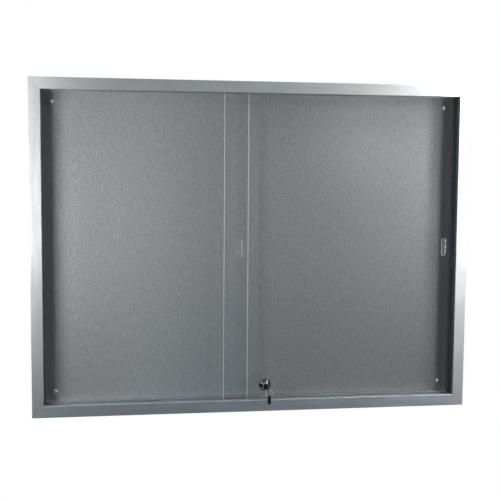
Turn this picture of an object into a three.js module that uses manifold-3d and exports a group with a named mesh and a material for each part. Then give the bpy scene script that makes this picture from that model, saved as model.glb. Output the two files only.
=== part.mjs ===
// Lockable notice board: a mitred aluminium case with a fabric pin board behind two sliding
// glass doors, and a push lock with its key on the front door.
// All sizes are in millimetres. X runs right, Y runs back to the wall and Z runs up.
// The origin is the centre of the rear plane, so the front face lies at Y = -caseDepth.
import * as THREE from 'three';
import { mergeVertices } from 'three/addons/utils/BufferGeometryUtils.js';
import createManifold from 'manifold-3d';

// Case
const caseWidth = 1000;
const caseHeight = 750;
const caseDepth = 60;
const runningGap = 0.3;
const seatGap = 0.1;
const half = 0.5;
const quarterTurn = Math.PI / 2;

// Frame rail: sizes of its section, across the face and back from it
const faceWidth = 26;
const faceWall = 1.8;
const railWall = 1.6;
const faceRound = 1;
const trackRecessDepth = 18;
const frontBoxShare = 8 / 15;
const trackFloor = 8;
const mitreGap = 0.1;
const roundSteps = 4;

// Corner keys, which slide into the rear boxes of two rails
const keyLegLength = 64;
const keyLegInset = 1.5;
const keyPocketRadius = 3.2;
const keyPocketSteps = 8;
const keyPocketShares = [0.5, 0.82];

// Double grooved profiles for the glass
const grooveWidth = 5.2;
const middleRib = 2.2;
const channelBase = 2;
const bottomRibHeight = 6.7;
const topRibSetback = 0.6;
const sideRibHeight = 9.7;

// Glass doors
const glassThickness = 4;
const glassArris = 0.9;
const doorOverlap = 57.2;
const overlapOffset = -42.2;
const liftClearance = 0.7;
const bufferThickness = 2.8;
const bufferLength = 30;
const bufferHeightShares = [-0.27, 0.27];

// Finger pulls ground into the front door
const pullHeight = 40;
const pullWidth = 12;
const pullUpperCorner = 2.5;
const pullLowerCorner = 8;
const pullEdgeDistance = 30;
const pullDeep = 1.8;
const pullShallow = 0.5;
const pullCutterDepth = 4;
const pullArcSteps = 8;

// Push lock, measured outward from the glass
const lockFromDoorEdge = 96.8;
const lockFromDoorBottom = 46.4;
const lockHoleRadius = 10;
const lockHoleOverrun = 2;
const washerThickness = 0.8;
const flangeRadius = 14;
const flangeThickness = 2.4;
const edgeBreak = 0.6;
const collarRadius = 12;
const collarLength = 7;
const springBoreRadius = 7.5;
const housingFloor = 1.6;
const nutRadius = 13;
const nutThickness = 1.8;
const nutSlotWidth = 3;
const nutSlotDepth = 1.6;
const lockSteps = 36;

// Plunger, key core and spring
const plungerRadius = 9.8;
const plungerOut = 7;
const plungerTravel = 6;
const plungerChamfer = 0.8;
const plungerTailRadius = 5.5;
const coreRadius = 6;
const coreHeadLength = 5.9;
const coreTailRadius = 4;
const coreTailLength = 16;
const coreRunning = 0.2;
const keywayFloor = 1.2;
const springWireRadius = 0.5;
const springTurns = 6;
const springStepsPerTurn = 14;
const springWireSteps = 3;

// Key, its ring and its tag
const keyThickness = 1.8;
const keyBladeHeight = 6;
const keyTipRoom = 0.4;
const keyTipChamfer = 1.6;
const keyFaceGap = 0.4;
const keyShoulderHeight = 9;
const keyShoulderLength = 2.6;
const keyNeckHeight = 6.4;
const keyBowReach = 28;
const keyBowLength = 10;
const keyBowHeight = 7.5;
const keyBowSteps = 28;
const keyHoleReach = 5.5;
const keyHoleRadius = 2.3;
const keyHoleSteps = 8;
const keyNotchStart = 2.6;
const keyNotchPitch = 3.4;
const keyNotchFlat = 1.2;
const keyNotchSlope = 0.9;
const keyNotchDepths = [1.1, 0.5, 1.5, 0.8, 1.3];
const ringRadius = 7.6;
const ringWireRadius = 0.8;
const ringSteps = 32;
const ringWireSteps = 8;
const ringSlack = 0.5;
const ringSideways = 1.8;
const tagThickness = 6.6;
const tagWidth = 11;
const tagHeight = 21;
const tagHoleRadius = 2.2;
const tagHoleInset = 4.2;
const tagBevel = 0.8;
const tagCornerSteps = 4;
const tagSlack = 0.8;

// Display panel, from the front: fabric, soft board and steel sheet
const panelEdgeInset = 2.2;
const fabricThickness = 1;
const boardThickness = 9.2;
const sheetThickness = 1.5;

// Wall fixing points through the panel, each with a sleeve and a cap
const fixingInsetX = 48.5;
const fixingInsetZ = 49;
const sleeveRadius = 5;
const sleeveBore = 3.3;
const sleeveRecess = 0.3;
const fixingSteps = 20;
const capRadius = 5.5;
const capHeight = 4.2;
const capStemEnd = 8;
const capDomeShares = [[1, 0], [1, 0.36], [0.94, 0.64], [0.78, 0.85], [0.5, 0.96], [0, 1]];

// Countersunk screws that hold the panel to the rails
const screwHeadRadius = 3.5;
const screwHeadLand = 0.4;
const screwShankRadius = 1.75;
const screwSink = 0.2;
const screwLength = 16;
const screwPoint = 2;
const screwSteps = 10;
const screwLongShares = [-0.31, 0, 0.31];
const screwShortShares = [-0.22, 0.22];

// Weld distance of the mesh clean-up
const weld = 0.00001;

// Derived places across the rail, from the outer edge inward
const channelSeat = trackFloor + runningGap;
const grooveFloor = channelSeat + channelBase;
const topRibHeight = faceWidth - grooveFloor - topRibSetback;
const doorEdgeInset = grooveFloor + seatGap + bufferThickness + runningGap;
const screwInset = faceWidth * half;

// Derived depths, from the front face back: the front and rear boxes share what the panel and
// the track recess leave of the case's depth
const sheetFront = caseDepth - sheetThickness;
const boardFront = sheetFront - boardThickness;
const fabricFront = boardFront - fabricThickness;
const ledgeDepth = fabricFront - runningGap;
const boxDepths = ledgeDepth - trackRecessDepth;
const trackFront = frontBoxShare * boxDepths;
const trackRear = trackFront + trackRecessDepth;
const rearBoxDepth = ledgeDepth - trackRear;
const channelFront = trackFront + runningGap;
const channelRear = trackRear - runningGap;
const outerRib = (channelRear - channelFront - middleRib) * half - grooveWidth;
const frontGroove = channelFront + outerRib;
const rearGroove = frontGroove + grooveWidth + middleRib;
const glassSideGap = (grooveWidth - glassThickness) * half;
const frontGlass = frontGroove + glassSideGap;
const rearGlass = rearGroove + glassSideGap;

// Derived door sizes: the front door closes to the right, the rear door to the left
const frontDoorInnerEdge = overlapOffset - doorOverlap * half;
const rearDoorInnerEdge = overlapOffset + doorOverlap * half;
const liftRoom = bottomRibHeight + liftClearance;
const doorBottom = grooveFloor + runningGap - caseHeight * half;
const doorTop = caseHeight * half - grooveFloor - liftRoom;
const doorHeight = doorTop - doorBottom;
const doorMiddle = (doorTop + doorBottom) * half;
const doorOuterEdge = caseWidth * half - doorEdgeInset;

// Derived places of the lock and the key: distances outward from the front door's glass
const lockX = frontDoorInnerEdge + lockFromDoorEdge;
const lockZ = doorBottom + lockFromDoorBottom;
const washerRadius = flangeRadius - edgeBreak;
const flangeRear = washerThickness + 2 * seatGap;
const flangeFront = flangeRear + flangeThickness;
const collarFront = flangeFront + collarLength;
const neckRadius = lockHoleRadius - runningGap;
const neckEnd = glassThickness + runningGap + nutThickness + seatGap;
const springFloor = housingFloor - neckEnd;
const headBoreRadius = plungerRadius + runningGap;
const tailBoreRadius = plungerTailRadius + runningGap;
const plungerFront = collarFront + plungerOut;
const plungerShoulder = flangeFront + plungerTravel + 2 * seatGap;
const plungerTailEnd = 2 * seatGap - neckEnd;
const springRadius = (plungerTailRadius + springBoreRadius) * half;
const coreStep = plungerFront - coreHeadLength;
const coreTailEnd = coreStep - coreTailLength;
const keywayEnd = coreTailEnd + keywayFloor;
const keywayWidth = keyThickness + 2 * runningGap;
const keywayHeight = keyBladeHeight + 2 * runningGap;
const keyTip = keywayEnd + keyTipRoom;
const keyShoulder = plungerFront + keyFaceGap;
const keyBowCentre = keyShoulder + keyBowReach;
const keyHoleCentre = keyBowCentre + keyHoleReach;

// Derived places of the fixing points
const fixingX = caseWidth * half - fixingInsetX;
const fixingZ = caseHeight * half - fixingInsetZ;
const capStemRadius = sleeveBore - runningGap;

const wasm = await createManifold();
wasm.setup();

// Finishes
const finishes = {
  aluminium: { color: 0xb9bdc0, roughness: 0.34, metalness: 0.9 },
  castAluminium: { color: 0x9a9da0, roughness: 0.55, metalness: 0.8 },
  greyPlastic: { color: 0x6c7074, roughness: 0.5, metalness: 0 },
  rubber: { color: 0x1b1c1e, roughness: 0.85, metalness: 0 },
  glass: { color: 0xcfd9dc, roughness: 0.05, metalness: 0, transparent: true, opacity: 0.35 },
  chrome: { color: 0xd4d6d8, roughness: 0.12, metalness: 1 },
  steel: { color: 0xa3a6a8, roughness: 0.35, metalness: 1 },
  blackPlastic: { color: 0x141416, roughness: 0.4, metalness: 0 },
  fabric: { color: 0x8d8e92, roughness: 0.95, metalness: 0 },
  softBoard: { color: 0xa08a63, roughness: 0.95, metalness: 0 },
  zincSheet: { color: 0xa9adb0, roughness: 0.45, metalness: 0.85 },
  whitePlastic: { color: 0xe2e4e4, roughness: 0.4, metalness: 0 },
};

const group = new THREE.Group();
group.name = 'lockable_notice_board';

// Returns a welded, outward facing copy of a geometry with positions only.
function closedBody(geometry) {
  const bare = geometry.index ? geometry.clone() : mergeVertices(geometry.clone());
  bare.deleteAttribute('normal');
  bare.deleteAttribute('uv');
  const welded = mergeVertices(bare, weld);
  const place = welded.getAttribute('position');
  const index = welded.getIndex();
  const kept = [];
  const a = new THREE.Vector3();
  const b = new THREE.Vector3();
  const c = new THREE.Vector3();
  let volume = 0;
  for (let i = 0; i < index.count; i += 3) {
    const corner = [index.getX(i), index.getX(i + 1), index.getX(i + 2)];
    if (new Set(corner).size === 3) {
      kept.push(...corner);
      a.fromBufferAttribute(place, corner[0]);
      b.fromBufferAttribute(place, corner[1]);
      c.fromBufferAttribute(place, corner[2]);
      volume += a.dot(b.cross(c));
    }
  }
  if (volume < 0) {
    kept.reverse();
  }
  const solid = new THREE.BufferGeometry();
  solid.setAttribute('position', new THREE.BufferAttribute(new Float32Array(place.array), 3));
  solid.setIndex(kept);
  return solid;
}

function toManifold(geometry) {
  const solid = closedBody(geometry);
  const vertProperties = new Float32Array(solid.getAttribute('position').array);
  const triVerts = new Uint32Array(solid.getIndex().array);
  return new wasm.Manifold(new wasm.Mesh({ numProp: 3, vertProperties, triVerts }));
}

function fromManifold(body) {
  const mesh = body.getMesh();
  const geometry = new THREE.BufferGeometry();
  geometry.setAttribute('position', new THREE.BufferAttribute(new Float32Array(mesh.vertProperties), 3));
  geometry.setIndex(Array.from(mesh.triVerts));
  return geometry;
}

// Takes every cutter out of a body.
function cut(geometry, cutters) {
  let body = toManifold(geometry);
  for (const cutter of cutters) {
    body = body.subtract(toManifold(cutter));
  }
  return fromManifold(body);
}

function addPiece(name, geometry, finish) {
  const solid = closedBody(geometry).toNonIndexed();
  solid.computeVertexNormals();
  const material = new THREE.MeshStandardMaterial({ name: finish, ...finishes[finish] });
  const mesh = new THREE.Mesh(solid, material);
  mesh.name = name;
  group.add(mesh);
}

// Extrudes an outline of [across, back] points along the rail, centred on its length.
function runOf(shape, length) {
  const run = new THREE.ExtrudeGeometry(shape, { depth: length, bevelEnabled: false });
  run.translate(0, -caseDepth, -length * half);
  return run;
}

// The four sides of the case. A piece drawn for the left side is turned about Y to its own.
const sides = {
  left: { turn: 0, x: -caseWidth * half, z: 0, length: caseHeight },
  bottom: { turn: -quarterTurn, x: 0, z: -caseHeight * half, length: caseWidth },
  right: { turn: 2 * quarterTurn, x: caseWidth * half, z: 0, length: caseHeight },
  top: { turn: quarterTurn, x: 0, z: caseHeight * half, length: caseWidth },
};

function onSide(geometry, side) {
  return geometry.clone().rotateY(side.turn).translate(side.x, 0, side.z);
}

function rectanglePath(left, front, right, back) {
  const path = new THREE.Path();
  path.moveTo(left, front);
  path.lineTo(left, back);
  path.lineTo(right, back);
  path.lineTo(right, front);
  path.closePath();
  return path;
}

// Section of the frame rail: front box, track recess with a hollow floor, rear box and rebate skirt.
function railSection() {
  const shape = new THREE.Shape();
  shape.moveTo(0, faceRound);
  shape.absarc(faceRound, faceRound, faceRound, Math.PI, 3 * quarterTurn, false);
  shape.lineTo(faceWidth - faceRound, 0);
  shape.absarc(faceWidth - faceRound, faceRound, faceRound, -quarterTurn, 0, false);
  shape.lineTo(faceWidth, trackFront);
  shape.lineTo(trackFloor, trackFront);
  shape.lineTo(trackFloor, trackRear);
  shape.lineTo(faceWidth, trackRear);
  shape.lineTo(faceWidth, ledgeDepth);
  shape.lineTo(railWall, ledgeDepth);
  shape.lineTo(railWall, caseDepth);
  shape.lineTo(0, caseDepth);
  shape.closePath();
  const inner = faceWidth - railWall;
  const floorInner = trackFloor - railWall;
  shape.holes.push(rectanglePath(railWall, faceWall, inner, trackFront - railWall));
  shape.holes.push(rectanglePath(railWall, trackFront, floorInner, trackRear));
  shape.holes.push(rectanglePath(railWall, trackRear + railWall, inner, ledgeDepth - railWall));
  return shape;
}

// Moves both ends of a run onto 45 degree mitre planes.
function mitreEnds(run, length) {
  const place = run.getAttribute('position');
  for (let i = 0; i < place.count; i += 1) {
    const end = Math.sign(place.getZ(i));
    place.setZ(i, end * (length * half - place.getX(i) - mitreGap));
  }
  return run;
}

// Turns a profile of [radius, height] points about Y.
function turnedAboutY(points, steps) {
  const profile = points.map(([radius, height]) => new THREE.Vector2(radius, height));
  return new THREE.LatheGeometry(profile, steps);
}

// Panel screws: head at the rear, point towards the front. A clearance makes the cutter for its hole.
function screwBody(clearance) {
  const head = screwHeadRadius + clearance;
  const shank = screwShankRadius + clearance;
  const rear = clearance > 0 ? -runningGap : screwSink;
  const coneStart = screwSink + screwHeadLand;
  const coneEnd = coneStart + screwHeadRadius - screwShankRadius;
  const tip = screwLength + clearance;
  const profile = [
    [0, rear],
    [head, rear],
    [head, coneStart],
    [shank, coneEnd],
    [shank, tip - screwPoint],
    [0, tip],
  ];
  return turnedAboutY(profile, screwSteps).rotateX(2 * quarterTurn);
}

// Every panel screw's side and place.
function screwPlaces() {
  const places = [];
  for (const [sideName, side] of Object.entries(sides)) {
    const shares = side.length === caseWidth ? screwLongShares : screwShortShares;
    shares.forEach((share, number) => {
      const local = new THREE.Vector3(screwInset, 0, share * side.length);
      local.applyAxisAngle(new THREE.Vector3(0, 1, 0), side.turn);
      places.push({ sideName, number: number + 1, x: local.x + side.x, z: local.z + side.z });
    });
  }
  return places;
}

const screws = screwPlaces();
const screwHoles = screws.map(({ x, z }) => screwBody(runningGap).translate(x, 0, z));

// Frame rails, with the screw holes drilled through the rear wall of the rear box
const section = railSection();
for (const [sideName, side] of Object.entries(sides)) {
  const run = new THREE.ExtrudeGeometry(section, {
    depth: side.length,
    bevelEnabled: false,
    curveSegments: roundSteps,
  });
  run.translate(0, -caseDepth, -side.length * half);
  const rail = onSide(mitreEnds(run, side.length), side);
  const holes = screwHoles.filter((hole, i) => screws[i].sideName === sideName);
  addPiece(`rail_${sideName}`, cut(rail, holes), 'aluminium');
}

// Corner keys: flat angles that fill the rear boxes, with pockets for the crimped walls
const keyInner = railWall + runningGap;
const keyOuter = faceWidth - railWall - runningGap;
const keyDepth = rearBoxDepth - 2 * railWall - 2 * runningGap;
for (const endX of [-1, 1]) {
  for (const endZ of [-1, 1]) {
    const angle = new THREE.Shape();
    angle.moveTo(keyInner, keyInner);
    angle.lineTo(keyInner, keyLegLength);
    angle.lineTo(keyInner + keyLegInset, keyLegLength + keyLegInset);
    angle.lineTo(keyOuter - keyLegInset, keyLegLength + keyLegInset);
    angle.lineTo(keyOuter, keyLegLength);
    angle.lineTo(keyOuter, keyOuter);
    angle.lineTo(keyLegLength, keyOuter);
    angle.lineTo(keyLegLength + keyLegInset, keyOuter - keyLegInset);
    angle.lineTo(keyLegLength + keyLegInset, keyInner + keyLegInset);
    angle.lineTo(keyLegLength, keyInner);
    angle.closePath();
    const middle = (keyInner + keyOuter) * half;
    for (const share of keyPocketShares) {
      for (const [x, z] of [[middle, share * keyLegLength], [share * keyLegLength, middle]]) {
        const pocket = new THREE.Path();
        pocket.absarc(x, z, keyPocketRadius, 0, 4 * quarterTurn, false);
        angle.holes.push(pocket);
      }
    }
    const plate = new THREE.ExtrudeGeometry(angle, {
      depth: keyDepth,
      bevelEnabled: false,
      curveSegments: keyPocketSteps,
    });
    plate.rotateX(quarterTurn);
    plate.scale(-endX, 1, -endZ);
    const back = ledgeDepth - railWall - runningGap;
    plate.translate(endX * caseWidth * half, back - caseDepth, endZ * caseHeight * half);
    const name = `corner_key_${endZ > 0 ? 'top' : 'bottom'}_${endX < 0 ? 'left' : 'right'}`;
    addPiece(name, plate, 'castAluminium');
  }
}

// Section of a double grooved profile with ribs of one height.
function channelSection(ribHeight) {
  const ribTop = grooveFloor + ribHeight;
  const shape = new THREE.Shape();
  shape.moveTo(channelSeat, channelFront);
  shape.lineTo(ribTop, channelFront);
  for (const groove of [frontGroove, rearGroove]) {
    shape.lineTo(ribTop, groove);
    shape.lineTo(grooveFloor, groove);
    shape.lineTo(grooveFloor, groove + grooveWidth);
    shape.lineTo(ribTop, groove + grooveWidth);
  }
  shape.lineTo(ribTop, channelRear);
  shape.lineTo(channelSeat, channelRear);
  shape.closePath();
  return shape;
}

// Tracks run between the side rails; the side channels stand between the tracks.
const trackLength = caseWidth - 2 * channelSeat;
addPiece('track_bottom', onSide(runOf(channelSection(bottomRibHeight), trackLength), sides.bottom), 'greyPlastic');
addPiece('track_top', onSide(runOf(channelSection(topRibHeight), trackLength), sides.top), 'greyPlastic');

const channelLow = grooveFloor + bottomRibHeight + runningGap - caseHeight * half;
const channelHigh = caseHeight * half - grooveFloor - topRibHeight - runningGap;
for (const sideName of ['left', 'right']) {
  const run = runOf(channelSection(sideRibHeight), channelHigh - channelLow);
  const channel = onSide(run, sides[sideName]).translate(0, 0, (channelHigh + channelLow) * half);
  addPiece(`channel_${sideName}`, channel, 'greyPlastic');
}

// Rubber buffers at the foot of the groove that each closed door runs into
const bufferLow = grooveFloor + seatGap;
const bufferHigh = doorEdgeInset - runningGap;
for (const [sideName, groove] of [['left', rearGroove], ['right', frontGroove]]) {
  bufferHeightShares.forEach((share, number) => {
    const outline = new THREE.Shape();
    const front = groove + runningGap;
    const rear = groove + grooveWidth - runningGap;
    outline.moveTo(bufferLow, front);
    outline.lineTo(bufferHigh - edgeBreak, front);
    outline.lineTo(bufferHigh, front + edgeBreak);
    outline.lineTo(bufferHigh, rear - edgeBreak);
    outline.lineTo(bufferHigh - edgeBreak, rear);
    outline.lineTo(bufferLow, rear);
    outline.closePath();
    const buffer = onSide(runOf(outline, bufferLength), sides[sideName]).translate(0, 0, share * caseHeight);
    addPiece(`buffer_${sideName}_${number + 1}`, buffer, 'rubber');
  });
}

// A flat plate in the XZ plane, from its outline and the depth of its front face.
function uprightPlate(shape, thickness, frontDepth, arris) {
  const options = {
    depth: thickness - 2 * arris,
    bevelEnabled: arris > 0,
    bevelThickness: arris,
    bevelSize: arris,
    bevelOffset: -arris,
    bevelSegments: 1,
  };
  const plate = new THREE.ExtrudeGeometry(shape, options);
  plate.translate(0, 0, arris);
  plate.rotateX(quarterTurn);
  return plate.translate(0, frontDepth + thickness - caseDepth, 0);
}

function rectangleShape(left, bottom, right, top) {
  const shape = new THREE.Shape();
  shape.moveTo(left, bottom);
  shape.lineTo(right, bottom);
  shape.lineTo(right, top);
  shape.lineTo(left, top);
  shape.closePath();
  return shape;
}

function glassPane(left, right, frontDepth) {
  const outline = rectangleShape(left, doorBottom, right, doorTop);
  return uprightPlate(outline, glassThickness, frontDepth, glassArris);
}

// Cutter for a finger pull: straight steep edge at its origin, shallow side towards +X or -X,
// with a small upper corner and a large lower corner.
function pullCutter(towards) {
  const top = pullHeight * half;
  const lower = { x: pullWidth - pullLowerCorner, y: pullLowerCorner - top };
  const upper = { x: pullWidth - pullUpperCorner, y: top - pullUpperCorner };
  const outline = new THREE.Shape();
  outline.moveTo(0, -top);
  outline.absarc(lower.x, lower.y, pullLowerCorner, -quarterTurn, 0, false);
  outline.absarc(upper.x, upper.y, pullUpperCorner, 0, quarterTurn, false);
  outline.lineTo(0, top);
  outline.closePath();
  const cutter = new THREE.ExtrudeGeometry(outline, {
    depth: pullCutterDepth,
    bevelEnabled: false,
    curveSegments: pullArcSteps,
  });
  cutter.rotateX(quarterTurn);
  cutter.rotateZ(-Math.atan2(pullDeep - pullShallow, pullWidth));
  cutter.scale(towards, 1, 1);
  return cutter.translate(0, frontGlass + pullDeep - caseDepth, 0);
}

// Places a turned lock piece: profile heights are distances outward from the front door's glass.
function onLockAxis(geometry) {
  return geometry.rotateX(2 * quarterTurn).translate(lockX, frontGlass - caseDepth, lockZ);
}

function lockTurning(points) {
  return onLockAxis(turnedAboutY(points, lockSteps));
}

const holeReach = glassThickness + lockHoleOverrun;
const lockHole = lockTurning([
  [0, -holeReach],
  [lockHoleRadius, -holeReach],
  [lockHoleRadius, holeReach],
  [0, holeReach],
]);

// The rear door closes to the left, the front door to the right
addPiece('glass_left', glassPane(-doorOuterEdge, rearDoorInnerEdge, rearGlass), 'glass');
const pullInset = pullEdgeDistance + pullWidth;
const innerPull = pullCutter(-1).translate(frontDoorInnerEdge + pullInset, 0, 0);
const outerPull = pullCutter(1).translate(doorOuterEdge - pullInset, 0, 0);
const frontPane = glassPane(frontDoorInnerEdge, doorOuterEdge, frontGlass);
addPiece('glass_right', cut(frontPane, [lockHole, innerPull, outerPull]), 'glass');

// Lock housing, from its rear face round the outside to the front and back through the bores
addPiece('lock_housing', lockTurning([
  [tailBoreRadius, -neckEnd],
  [neckRadius, -neckEnd],
  [neckRadius, flangeRear],
  [flangeRadius, flangeRear],
  [flangeRadius, flangeFront - edgeBreak],
  [flangeRadius - edgeBreak, flangeFront],
  [collarRadius, flangeFront],
  [collarRadius, collarFront - edgeBreak],
  [collarRadius - edgeBreak, collarFront],
  [headBoreRadius, collarFront],
  [headBoreRadius, flangeFront],
  [springBoreRadius, flangeFront],
  [springBoreRadius, springFloor],
  [tailBoreRadius, springFloor],
  [tailBoreRadius, -neckEnd],
]), 'chrome');

// A flat turned ring between two heights.
function turnedRing(inner, outer, low, high) {
  return lockTurning([
    [inner, low],
    [outer, low],
    [outer, high],
    [inner, high],
    [inner, low],
  ]);
}

const neckClear = neckRadius + runningGap;
addPiece('lock_washer', turnedRing(neckClear, washerRadius, seatGap, seatGap + washerThickness), 'rubber');

// Lock nut behind the glass, with two notches for the pin wrench
const nutFront = -glassThickness - runningGap;
const nutSlots = [-1, 1].map((end) => {
  const slot = new THREE.BoxGeometry(2 * nutSlotDepth, 2 * glassThickness, nutSlotWidth);
  return slot.translate(lockX + end * nutRadius, frontGlass - caseDepth - nutFront, lockZ);
});
const nutBlank = turnedRing(neckClear, nutRadius, nutFront - nutThickness, nutFront);
addPiece('lock_nut', cut(nutBlank, nutSlots), 'steel');

// Plunger: a head with the bore for the key core, and a tail that is the bolt
const coreBore = coreRadius + coreRunning;
const coreTailBore = coreTailRadius + coreRunning;
addPiece('lock_plunger', lockTurning([
  [0, plungerTailEnd],
  [plungerTailRadius - edgeBreak, plungerTailEnd],
  [plungerTailRadius, plungerTailEnd + edgeBreak],
  [plungerTailRadius, plungerShoulder],
  [plungerRadius, plungerShoulder],
  [plungerRadius, plungerFront - plungerChamfer],
  [plungerRadius - plungerChamfer, plungerFront],
  [coreBore, plungerFront],
  [coreBore, coreStep - runningGap],
  [coreTailBore, coreStep - runningGap],
  [coreTailBore, coreTailEnd - runningGap],
  [0, coreTailEnd - runningGap],
]), 'chrome');

// Key core with the keyway sawn from its face
const coreBlank = lockTurning([
  [0, coreTailEnd],
  [coreTailRadius, coreTailEnd],
  [coreTailRadius, coreStep],
  [coreRadius, coreStep],
  [coreRadius, plungerFront - edgeBreak],
  [coreRadius - edgeBreak, plungerFront],
  [0, plungerFront],
]);
const keywayLength = plungerFront - keywayEnd + runningGap;
const keyway = new THREE.BoxGeometry(keywayWidth, keywayLength, keywayHeight);
keyway.translate(lockX, frontGlass - caseDepth - keywayEnd - keywayLength * half, lockZ);
addPiece('lock_core', cut(coreBlank, [keyway]), 'chrome');

// Return spring round the tail, between the housing floor and the shoulder of the head
class SpringLine extends THREE.Curve {
  constructor(low, high) {
    super();
    this.low = low;
    this.high = high;
  }

  getPoint(share, target = new THREE.Vector3()) {
    const angle = share * springTurns * 4 * quarterTurn;
    const height = THREE.MathUtils.lerp(this.low, this.high, share);
    return target.set(springRadius * Math.cos(angle), height, springRadius * Math.sin(angle));
  }
}
const wireSection = new THREE.Shape();
wireSection.absarc(0, 0, springWireRadius, 0, 4 * quarterTurn, false);
const wireSeat = springWireRadius + runningGap;
const spring = new THREE.ExtrudeGeometry(wireSection, {
  steps: springTurns * springStepsPerTurn,
  bevelEnabled: false,
  curveSegments: springWireSteps,
  extrudePath: new SpringLine(springFloor + wireSeat, plungerShoulder - wireSeat),
});
addPiece('lock_spring', onLockAxis(spring), 'steel');

// Pieces cut from flat stock that stands across the lock axis: drawn as [outward, up].
const keyBasis = new THREE.Matrix4().makeBasis(
  new THREE.Vector3(0, -1, 0),
  new THREE.Vector3(0, 0, 1),
  new THREE.Vector3(-1, 0, 0),
);

function edgeOnPlate(shape, thickness, bevel, steps) {
  const plate = new THREE.ExtrudeGeometry(shape, {
    depth: thickness - 2 * bevel,
    bevelEnabled: bevel > 0,
    bevelThickness: bevel,
    bevelSize: bevel,
    bevelOffset: -bevel,
    bevelSegments: 1,
    curveSegments: steps,
  });
  plate.translate(0, 0, bevel - thickness * half);
  plate.applyMatrix4(keyBasis);
  return plate.translate(lockX, frontGlass - caseDepth, lockZ);
}

// Key: bitted blade, shoulder, neck and oval bow with the hole for the ring
function keyOutline() {
  const blade = keyBladeHeight * half;
  const shoulder = keyShoulderHeight * half;
  const neck = keyNeckHeight * half;
  const shoulderEnd = keyShoulder + keyShoulderLength;
  const neckTurn = Math.asin(neck / keyBowHeight);
  const shape = new THREE.Shape();
  shape.moveTo(keyTip, 0);
  shape.lineTo(keyTip + keyTipChamfer, -blade);
  keyNotchDepths.forEach((notch, number) => {
    const start = keyTip + keyNotchStart + number * keyNotchPitch;
    shape.lineTo(start, -blade);
    shape.lineTo(start + keyNotchSlope, notch - blade);
    shape.lineTo(start + keyNotchSlope + keyNotchFlat, notch - blade);
    shape.lineTo(start + 2 * keyNotchSlope + keyNotchFlat, -blade);
  });
  shape.lineTo(keyShoulder, -blade);
  shape.lineTo(keyShoulder, -shoulder);
  shape.lineTo(shoulderEnd, -shoulder);
  shape.lineTo(shoulderEnd, -neck);
  const bowStart = neckTurn - Math.PI;
  shape.absellipse(keyBowCentre, 0, keyBowLength, keyBowHeight, bowStart, -bowStart, false);
  shape.lineTo(shoulderEnd, neck);
  shape.lineTo(shoulderEnd, shoulder);
  shape.lineTo(keyShoulder, shoulder);
  shape.lineTo(keyShoulder, blade);
  shape.lineTo(keyTip + keyTipChamfer, blade);
  shape.closePath();
  return shape;
}
const keyHoleCut = new THREE.Shape();
keyHoleCut.absarc(keyHoleCentre, 0, keyHoleRadius, 0, 4 * quarterTurn, false);
const keyBlank = edgeOnPlate(keyOutline(), keyThickness, 0, keyBowSteps);
const keyHole = edgeOnPlate(keyHoleCut, 2 * keyThickness, 0, keyHoleSteps);
addPiece('key', cut(keyBlank, [keyHole]), 'steel');

// Split ring, hanging in the hole of the bow, parallel to the glass and pushed a little aside
const ringTop = lockZ - keyHoleRadius + ringWireRadius + ringSlack;
const ringDepth = frontGlass - keyHoleCentre - caseDepth;
const ring = new THREE.TorusGeometry(ringRadius, ringWireRadius, ringWireSteps, ringSteps);
ring.rotateX(quarterTurn);
ring.translate(lockX + ringSideways, ringDepth, ringTop - ringRadius);
addPiece('key_ring', ring, 'chrome');

// Tag with round ends, threaded on the bottom of the ring
const ringBottom = ringTop - 2 * ringRadius;
const tagHoleHeight = ringBottom - tagHoleRadius + ringWireRadius + tagSlack - lockZ;
const tagCentre = tagHoleHeight + tagHoleInset - tagHeight * half;
const tagEnd = tagHeight * half - tagWidth * half;
const tagOutline = new THREE.Shape();
tagOutline.absarc(keyHoleCentre, tagCentre + tagEnd, tagWidth * half, 0, 2 * quarterTurn, false);
tagOutline.absarc(keyHoleCentre, tagCentre - tagEnd, tagWidth * half, 2 * quarterTurn, 4 * quarterTurn, false);
tagOutline.closePath();
const tagHoleCut = new THREE.Shape();
tagHoleCut.absarc(keyHoleCentre, tagHoleHeight, tagHoleRadius, 0, 4 * quarterTurn, false);
const tagBlank = edgeOnPlate(tagOutline, tagThickness, tagBevel, 2 * tagCornerSteps);
const tagHole = edgeOnPlate(tagHoleCut, 2 * tagThickness, 0, keyHoleSteps);
addPiece('key_tag', cut(tagBlank, [tagHole]).translate(ringSideways, 0, 0), 'blackPlastic');

// Turned pieces of the wall fixing points: profile heights run forward from the rear plane.
function fixingTurning(points, x, z) {
  return turnedAboutY(points, fixingSteps).rotateX(2 * quarterTurn).translate(x, 0, z);
}

// Display panel, drilled for the fixing sleeves and the panel screws
const fixings = [];
for (const endX of [-1, 1]) {
  for (const endZ of [-1, 1]) {
    const name = `${endZ > 0 ? 'top' : 'bottom'}_${endX < 0 ? 'left' : 'right'}`;
    fixings.push({ name, x: endX * fixingX, z: endZ * fixingZ });
  }
}
const sleeveHoles = fixings.map(({ x, z }) => fixingTurning([
  [0, -runningGap],
  [sleeveRadius + runningGap, -runningGap],
  [sleeveRadius + runningGap, caseDepth - ledgeDepth],
  [0, caseDepth - ledgeDepth],
], x, z));
const panelHoles = [...sleeveHoles, ...screwHoles];
const panelX = caseWidth * half - panelEdgeInset;
const panelZ = caseHeight * half - panelEdgeInset;
const panelOutline = rectangleShape(-panelX, -panelZ, panelX, panelZ);
const fabric = uprightPlate(panelOutline, fabricThickness, fabricFront, 0);
const board = uprightPlate(panelOutline, boardThickness, boardFront, 0);
const sheet = uprightPlate(panelOutline, sheetThickness, sheetFront, 0);
addPiece('fabric_facing', cut(fabric, panelHoles), 'fabric');
addPiece('pin_board', cut(board, panelHoles), 'softBoard');
addPiece('back_sheet', cut(sheet, panelHoles), 'zincSheet');

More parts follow.
